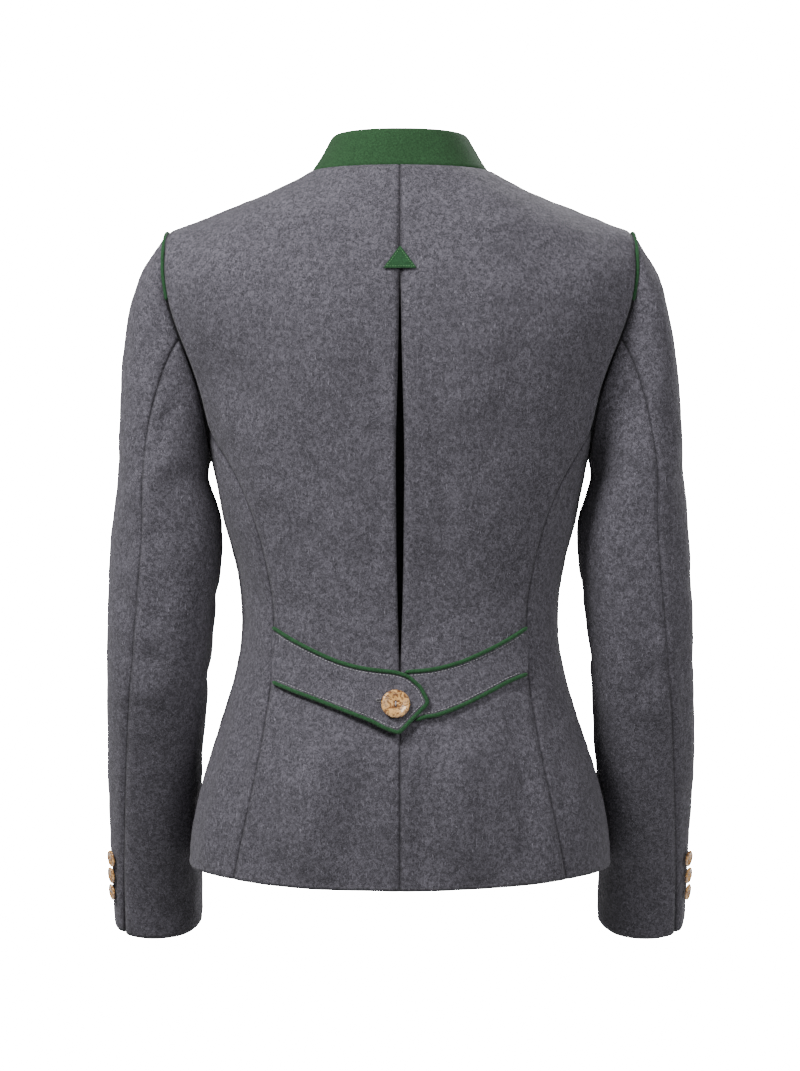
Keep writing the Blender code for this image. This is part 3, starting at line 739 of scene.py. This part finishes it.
class JACKET_OT_body(bpy.types.Operator):
    """Makes the back, side and front panels."""

    bl_idname = "jacket.body"
    bl_label = "Body panels"

    def execute(self, context):
        for kind in ("back", "side", "front"):
            for side in SIDE_NAMES:
                cloth_panel(context.scene.jacket, kind, side, from_body, BODY_FOLDS, HEM)
        return {"FINISHED"}


class JACKET_OT_sleeves(bpy.types.Operator):
    """Makes the two-piece sleeves."""

    bl_idname = "jacket.sleeves"
    bl_label = "Sleeves"

    def execute(self, context):
        for kind in ("sleeve_top", "sleeve_under"):
            for side in SIDE_NAMES:
                cloth_panel(context.scene.jacket, kind, side, from_middle, SLEEVE_FOLDS, CUFF)
        return {"FINISHED"}


def small_cloth(settings, node, kind, outwards, finish, thickness, levels, plain=False):
    """A small cloth piece on its node's own form."""
    skin = outer_skin(node, outwards)
    if plain:
        bmesh.ops.subdivide_edges(skin, edges=skin.edges, cuts=2**levels - 1, use_grid_fill=True)
        mesh = bpy.data.meshes.new(node)
        skin.to_mesh(mesh)
        skin.free()
    else:
        mesh = subdivided(skin, levels)
    mesh = shaped(mesh, settings, (), seam_reach=0.0, stiff=0.25)
    if kind == "collar":
        mesh = turned_under(mesh, COLLAR_FOOT, lambda vert, inward: inward.z > 0.5)
    obj = piece(f"cloth_{node}", mesh, finish_of(settings, finish), [node])
    thickened(obj, thickness)
    rounded = obj.modifiers.new("Rounded edge", "BEVEL")
    rounded.width, rounded.segments = thickness * 0.3, 2
    rounded.limit_method, rounded.angle_limit = "ANGLE", math.radians(50)
    return obj


def rim_path(node, outwards, inset, lift):
    """A closed line just inside the edge of a small cloth piece, and which way is out along it."""
    skin = outer_skin(node, outwards)
    skin.normal_update()
    inwards = {}
    following = {}
    for face in skin.faces:
        for loop in face.loops:
            if loop.edge.is_boundary:
                start, end = loop.vert, loop.link_loop_next.vert
                following[start] = end
                inward = face.normal.cross(end.co - start.co).normalized()
                for vert in (start, end):
                    inwards.setdefault(vert, []).append((inward, face.normal.copy()))
    first = next(iter(following))
    line, vert = [], first
    while True:
        line.append(vert)
        vert = following[vert]
        if vert is first or vert not in following:
            break
    path, out = [], []
    for vert in [*line, line[0]]:
        ways = inwards[vert]
        inward = sum((w for w, _ in ways), Vector()) / len(ways)
        # At a corner the line stays as far from both edges
        inward *= 1 / max(inward.length_squared, 0.3)
        normal = sum((n for _, n in ways), Vector()).normalized()
        path.append(vert.co + inward * inset + normal * lift)
        out.append(normal)
    skin.free()
    return path, out


class JACKET_OT_collar(bpy.types.Operator):
    """Makes the stand-up collar of green felt."""

    bl_idname = "jacket.collar"
    bl_label = "Collar"

    def execute(self, context):
        small_cloth(context.scene.jacket, "collar", "collar", from_middle, "collar", WALL, 3)
        return {"FINISHED"}


class JACKET_OT_pleat(bpy.types.Operator):
    """Makes the cloth behind the pleat, painted dark as the shade deep in the slit, and the triangle that holds its
    top.
    """

    bl_idname = "jacket.pleat"
    bl_label = "Pleat and tab"

    def execute(self, context):
        settings = context.scene.jacket
        # The underlay takes the darkened loden: painted shade, so the slit looks deep
        small_cloth(settings, "pleat_underlay", "pleat_underlay", to_back, "shaded", WALL, 2)
        small_cloth(settings, "pleat_tab", "pleat_tab", to_back, "braid", FELT, 2, plain=True)
        path, out = rim_path("pleat_tab", to_back, 0.0014, 0.0002)
        thread = finish_of(settings, "green_thread")
        stitch_row("tab_stitches", path, out, 0.0016, 0.0006, 0.00028, thread, "green_cloth")
        return {"FINISHED"}


def stretch_of(path, out, keep, step=0.002):
    """The longest run of a closed line whose spots are all wanted, in short steps."""
    spots, ways = [], []
    for (here, there), (first, second) in zip(zip(path, path[1:]), zip(out, out[1:])):
        count = max(1, round((there - here).length / step))
        for index in range(count):
            spots.append(here.lerp(there, index / count))
            ways.append(first.lerp(second, index / count).normalized())
    wanted = [keep(spot) for spot in spots]
    total, best = len(spots), []
    for start in range(total):
        if wanted[start] and not wanted[start - 1]:
            run = []
            while wanted[(start + len(run)) % total] and len(run) < total:
                run.append((start + len(run)) % total)
            if len(run) > len(best):
                best = run
    return [spots[i] for i in best], [ways[i] for i in best]


def evened(path, rounds=2):
    """Softens the corners of a line a little."""
    for _ in range(rounds):
        path = [path[0], *((a + 2 * b + c) / 4 for a, b, c in zip(path, path[1:], path[2:])), path[-1]]
    return path


def tucked(spot):
    """Lifts the lower edge of the right strap to where it goes under the left strap."""
    along = min(max((TUCK_START - spot[0]) / TUCK_LENGTH, 0.0), 1.0)
    below = min(max((TUCK_TOP - spot[2]) / TUCK_HIGH, 0.0), 1.0)
    return Vector(spot) + Vector((0, 0, TUCK_RISE * along * along * (3 - 2 * along) * below))


class JACKET_OT_belt(bpy.types.Operator):
    """Makes the two straps at the waist with their piping and stitching."""

    bl_idname = "jacket.belt"
    bl_label = "Belt"

    def execute(self, context):
        settings = context.scene.jacket
        thread, braid = finish_of(settings, "grey_thread"), finish_of(settings, "braid")
        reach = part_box("belt_right")[1].x - STRAP_SEWN
        for node in ("belt_right", "belt_left"):
            strap = small_cloth(settings, node, "belt", to_back, "loden", WALL, 2, plain=True)
            path, out = rim_path(node, to_back, *STITCH_INSET)
            if node == "belt_right":
                path = [tucked(spot) for spot in path]
                for vert in strap.data.vertices:
                    vert.co = tucked(vert.co)
            run, ways = stretch_of(path, out, lambda spot: abs(spot.x) < reach)
            stitch_row(f"{node}_stitches", evened(run), ways, *BELT_STITCH, thread, "loden")
        path, out = rim_path("belt_left", to_back, *PIPING_INSET)
        run, ways = stretch_of(path, out, lambda spot: spot.x > -reach - PIPING_OVER)
        left = ("belt_left_piping",)
        tube("cloth_belt_left_piping", evened(run), PIPING_RADIUS, braid, left, 10, 0.75, ways)
        path, out = rim_path("belt_right", to_back, *PIPING_INSET)
        path = [tucked(spot) for spot in path]
        for edge, start, upper in (("top", 0.0035, True), ("bottom", 0.0125, False)):
            heights = [spot.z for spot in path if spot.x > reach - 0.004]
            middle = sum(heights) / len(heights)

            def kept(spot, start=start, upper=upper):
                slope = STRAP_RISE * (reach - spot.x)
                above = spot.z > middle - slope
                return start < spot.x < reach + PIPING_OVER and above == upper

            run, ways = stretch_of(path, out, kept)
            node = f"belt_right_piping_{edge}"
            tube(f"cloth_{node}", evened(run), PIPING_RADIUS, braid, (node,), 10, 0.75, ways)
        return {"FINISHED"}


def armhole_roll(settings, side):
    """The turned seam inside an armhole: a soft roll of loden, painted dark as the shade in the join, that closes the
    join from within.
    """
    sleeve = [s for kind in ("sleeve_top", "sleeve_under") for s in open_edge(f"{kind}_{side}", from_middle)]
    body = [s for kind in ("back", "side", "front") for s in open_edge(f"{kind}_{side}", from_body)]
    spots = [spot for spot in body if min((spot - other).length for other in sleeve) < ARMHOLE_GAP]
    middle = sum(spots, Vector()) / len(spots)
    spots.sort(key=lambda spot: math.atan2(spot.z - middle.z, spot.y - middle.y))
    count = len(spots)
    ring = []
    for index in range(count):
        spot = (spots[index - 1] + spots[index] * 2 + spots[(index + 1) % count]) / 4
        inward = (middle - spot) * Vector((0, 1, 1))
        ring.append(spot + inward.normalized() * ROLL_SUNK)
    ring.append(ring[0])
    facing = [((spot - middle) * Vector((0, 1, 1))).normalized() for spot in ring]
    # The roll takes the darkened loden: painted shade in the armhole's join
    tube(f"armhole_roll_{side}", ring, ROLL_SIZE, finish_of(settings, "shaded"), sides=8, facing=facing)
    node = f"armhole_piping_{side}"
    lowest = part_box(node)[0].z
    run, ways = stretch_of(ring, facing, lambda spot: spot.z > lowest)
    outwards = Vector((SIDE_NAMES[side] * PIPING_ASIDE, 0, 0))
    line = [spot + way * (ROLL_SUNK + PIPING_PROUD) + outwards for spot, way in zip(run, ways)]
    tube(
        f"cloth_{node}", evened(line, 14), 0.0016, finish_of(settings, "braid"), (node,), 10, 0.9, ways
    )


def open_edge(name, outwards):
    """The spots along the edges of a node's outer face."""
    skin = outer_skin(name, outwards)
    spots = [v.co.copy() for v in skin.verts if v.is_boundary]
    skin.free()
    return spots


class JACKET_OT_piping(bpy.types.Operator):
    """Makes the green piping of the armholes and the roll of cloth inside them, painted dark as the shade in the
    join.
    """

    bl_idname = "jacket.piping"
    bl_label = "Piping"

    def execute(self, context):
        settings = context.scene.jacket
        for side in SIDE_NAMES:
            armhole_roll(settings, side)
        return {"FINISHED"}


def button_place(node):
    """Where a button's underside lies, which way it faces, its radius and its thickness."""
    spots = numbers(NODES[node].data.vertices, "co")
    spots = np.unique(np.round(spots, 6), axis=0)
    middle = spots.mean(axis=0)
    _, _, ways = np.linalg.svd(spots - middle)
    normal = ways[2] * np.sign(ways[2] @ (middle * (1, 1, 0)))
    heights = (spots - middle) @ normal
    base = middle + normal * heights.min()
    reach = np.linalg.norm(spots - middle - heights[:, None] * normal, axis=1).max()
    facing = Vector(normal)
    sideways = Vector((0, 0, 1)).cross(facing).normalized()
    turn = Matrix((sideways, facing.cross(sideways), facing)).transposed().to_4x4()
    turn.translation = Vector(base)
    return turn, float(reach), float(heights.max() - heights.min())


# Radius and height along a button's side, as shares of its own
BUTTON_SIDE = (
    (0.0, 0.0), (0.84, 0.0), (0.96, 0.16), (1.0, 0.46), (0.96, 0.80), (0.86, 0.99),
    (0.74, 0.97), (0.62, 0.74), (0.44, 0.62), (0.20, 0.60), (0.0, 0.60),
)  # fmt: skip
BUTTON_STEPS = 28
HOLE_APART, HOLE_SIZE = 0.17, 0.085
THREAD_BAR = ((-1, 0.42), (-0.6, 0.66), (0.6, 0.66), (1, 0.42))  # sideways and height, as shares
HOLE_STITCH = (0.0008, 0.0001, 0.00042)  # length, gap and radius


def horn_button(settings, node, seed):
    """A button sliced from antler: a worn rim, a shallow dish and two holes."""
    turn, radius, thick = button_place(node)
    shape = bmesh.new()
    line = [shape.verts.new((r * radius, 0, h * thick)) for r, h in BUTTON_SIDE]
    edges = [shape.edges.new(pair) for pair in zip(line, line[1:])]
    bmesh.ops.spin(
        shape, geom=line + edges, axis=(0, 0, 1), cent=(0, 0, 0), angle=math.tau, steps=BUTTON_STEPS, use_merge=True
    )
    bmesh.ops.remove_doubles(shape, verts=shape.verts, dist=1e-6)
    bmesh.ops.recalc_face_normals(shape, faces=shape.faces)
    mesh = subdivided(shape, 2)
    spots, normals = numbers(mesh.vertices, "co"), numbers(mesh.vertices, "normal")
    craggy = field(spots, radius * 0.5, seed) * 0.010 + field(spots, radius * 0.2, seed + 50) * 0.004
    mesh.vertices.foreach_set("co", (spots + normals * (craggy * radius)[:, None]).ravel())
    body = bpy.data.objects.new("button body", mesh)
    holes = bmesh.new()
    for sign in (-1, 1):
        place = Matrix.Translation((0, sign * HOLE_APART * radius, thick * 0.5))
        bmesh.ops.create_cone(
            holes, segments=14, radius1=HOLE_SIZE * radius, radius2=HOLE_SIZE * radius,
            depth=thick * 3, cap_ends=True, matrix=place,
        )  # fmt: skip
    cutter_mesh = bpy.data.meshes.new("button holes")
    holes.to_mesh(cutter_mesh)
    holes.free()
    cutter = bpy.data.objects.new("button holes", cutter_mesh)
    for made in (body, cutter):
        bpy.context.scene.collection.objects.link(made)
    bored = body.modifiers.new("Holes", "BOOLEAN")
    bored.operation, bored.object, bored.solver = "DIFFERENCE", cutter, "EXACT"
    graph = bpy.context.evaluated_depsgraph_get()
    final = bpy.data.meshes.new_from_object(body.evaluated_get(graph))
    for made in (body, cutter):
        bpy.data.objects.remove(made)
    final.transform(turn)
    piece(f"horn_{node}", final, finish_of(settings, "horn"), [node])
    # The thread that crosses between the holes
    reach = (HOLE_APART + 0.02) * radius
    bar = [turn @ Vector((0, s * reach, thick * h)) for s, h in THREAD_BAR]
    facing = [turn.to_3x3() @ Vector((0, 0, 1))] * len(bar)
    tube(f"thread_{node}", bar, radius * 0.05, finish_of(settings, "grey_thread"), sides=6, facing=facing)


def buttonhole(settings, name, place, length, finish):
    """A worked buttonhole: a near-black cord as painted shadow in the slit, inside a ring of close stitches."""
    half, end = length / 2, 0.0009
    out = place.to_3x3() @ Vector((0, 0, 1))
    ring = [
        place @ Vector((half * x, end * z, 0.0004))
        for x, z in ((-1, 0), (-0.92, 1), (0.85, 1), (1, 0.6), (1.05, 0), (1, -0.6), (0.85, -1), (-0.92, -1), (-1, 0))
    ]
    slit = [place @ Vector((half * x, 0, 0.0001)) for x in (-0.9, 0, 0.95)]
    # The slit is a near-black cord: painted shadow where the opening would lie in shade
    tube(f"{name}_slit", slit, 0.0005, finish_of(settings, "shadow"), sides=6, facing=[out] * 3)
    thread = finish_of(settings, finish)
    stitch_row(f"{name}_stitches", ring, [out] * len(ring), *HOLE_STITCH, thread, "loden")


class JACKET_OT_buttons(bpy.types.Operator):
    """Makes the horn buttons and the buttonhole beside the belt's button."""

    bl_idname = "jacket.buttons"
    bl_label = "Buttons"

    def execute(self, context):
        settings = context.scene.jacket
        for seed, node in enumerate(sorted(name for name in NODES if "button" in name)):
            horn_button(settings, node, seed + 20)
        turn, radius, _ = button_place("belt_button")
        beside = turn @ Matrix.Translation((-radius * 1.08, radius * 0.28, -0.0002))
        buttonhole(settings, "belt_buttonhole", beside, 0.006, "grey_thread")
        return {"FINISHED"}


def soft_light(name, place, target, size, power):
    light = bpy.data.lights.new(name, "AREA")
    light.shape, light.size, light.energy = "DISK", size, power
    lamp = bpy.data.objects.new(name, light)
    lamp.location = place
    lamp.rotation_euler = (Vector(target) - Vector(place)).to_track_quat("-Z", "Y").to_euler()
    bpy.context.scene.collection.objects.link(lamp)


class JACKET_OT_stage(bpy.types.Operator):
    """Makes the floor, the studio light and the camera."""

    bl_idname = "jacket.stage"
    bl_label = "Stage"

    def execute(self, context):
        low, high = CAD_BOX
        middle = (0.0, 0.0, (low[2] + high[2]) / 2)
        floor = bmesh.new()
        bmesh.ops.create_circle(
            floor, segments=64, radius=3.0, cap_ends=True, matrix=Matrix.Translation((0, 0, low[2] - FLOOR_DROP))
        )
        mesh = bpy.data.meshes.new("floor")
        floor.to_mesh(mesh)
        floor.free()
        obj = bpy.data.objects.new("floor", mesh)
        context.scene.collection.objects.link(obj)
        paint = Paint("floor", 0.8)
        cloud = paint.noise(3.0)
        paint.shader.inputs["Emission Color"].default_value = (1.0, 1.0, 1.0, 1.0)
        paint.shader.inputs["Emission Strength"].default_value = FLOOR_GLOW
        obj.visible_diffuse = False  # the floor shows pale without lighting the cloth from below
        shade = paint.mix(cloud, FLOOR_SHADES[0], FLOOR_SHADES[1])
        finished_mesh(obj, paint.finish(shade, cloud, 0.0001), False)
        world = bpy.data.worlds.new("studio")
        world.use_nodes = True
        sky = world.node_tree.nodes["Background"]
        sky.inputs["Color"].default_value = (1.0, 1.0, 1.0, 1.0)
        # The backdrop shows white, while the cloth is lit by less of it
        seen = world.node_tree.nodes.new("ShaderNodeLightPath")
        level = world.node_tree.nodes.new("ShaderNodeMapRange")
        level.inputs["To Min"].default_value = SKY_LIGHT
        level.inputs["To Max"].default_value = SKY_SEEN
        world.node_tree.links.new(seen.outputs["Is Camera Ray"], level.inputs["Value"])
        world.node_tree.links.new(level.outputs["Result"], sky.inputs["Strength"])
        context.scene.world = world
        soft_light("key", (-1.25, -1.15, 1.35), (0.0, 0.0, -0.15), 0.7, 88)
        soft_light("fill", (1.7, -1.8, 0.6), middle, 1.4, 34)
        soft_light("front", (1.2, 1.8, 1.25), middle, 1.0, 60)
        data = bpy.data.cameras.new("camera")
        data.lens, data.sensor_width = CAMERA_LENS, 36.0
        camera = bpy.data.objects.new("camera", data)
        camera.location = CAMERA_PLACE
        camera.rotation_euler = (math.pi / 2, 0.0, 0.0)
        context.scene.collection.objects.link(camera)
        context.scene.camera = camera
        return {"FINISHED"}


class JACKET_PT_panel(bpy.types.Panel):
    """The jacket's sizes, and a button for each group of pieces."""

    bl_label = "Loden jacket"
    bl_idname = "JACKET_PT_panel"
    bl_space_type = "VIEW_3D"
    bl_region_type = "UI"
    bl_category = "Jacket"

    def draw(self, context):
        for key in JacketSettings.__annotations__:
            self.layout.prop(context.scene.jacket, key)
        for operator in OPERATORS:
            self.layout.operator(operator.bl_idname)


OPERATORS = (
    JACKET_OT_body,
    JACKET_OT_sleeves,
    JACKET_OT_collar,
    JACKET_OT_pleat,
    JACKET_OT_belt,
    JACKET_OT_piping,
    JACKET_OT_buttons,
    JACKET_OT_stage,
)
CLASSES = (JacketSettings, *OPERATORS, JACKET_PT_panel)


def register():
    for cls in CLASSES:
        bpy.utils.register_class(cls)
    bpy.types.Scene.jacket = PointerProperty(type=JacketSettings)


def unregister():
    del bpy.types.Scene.jacket
    for cls in reversed(CLASSES):
        bpy.utils.unregister_class(cls)


def main():
    register()
    bpy.ops.jacket.body()
    bpy.ops.jacket.sleeves()
    bpy.ops.jacket.collar()
    bpy.ops.jacket.pleat()
    bpy.ops.jacket.belt()
    bpy.ops.jacket.piping()
    bpy.ops.jacket.buttons()
    bpy.ops.jacket.stage()


if __name__ == "__main__":
    main()
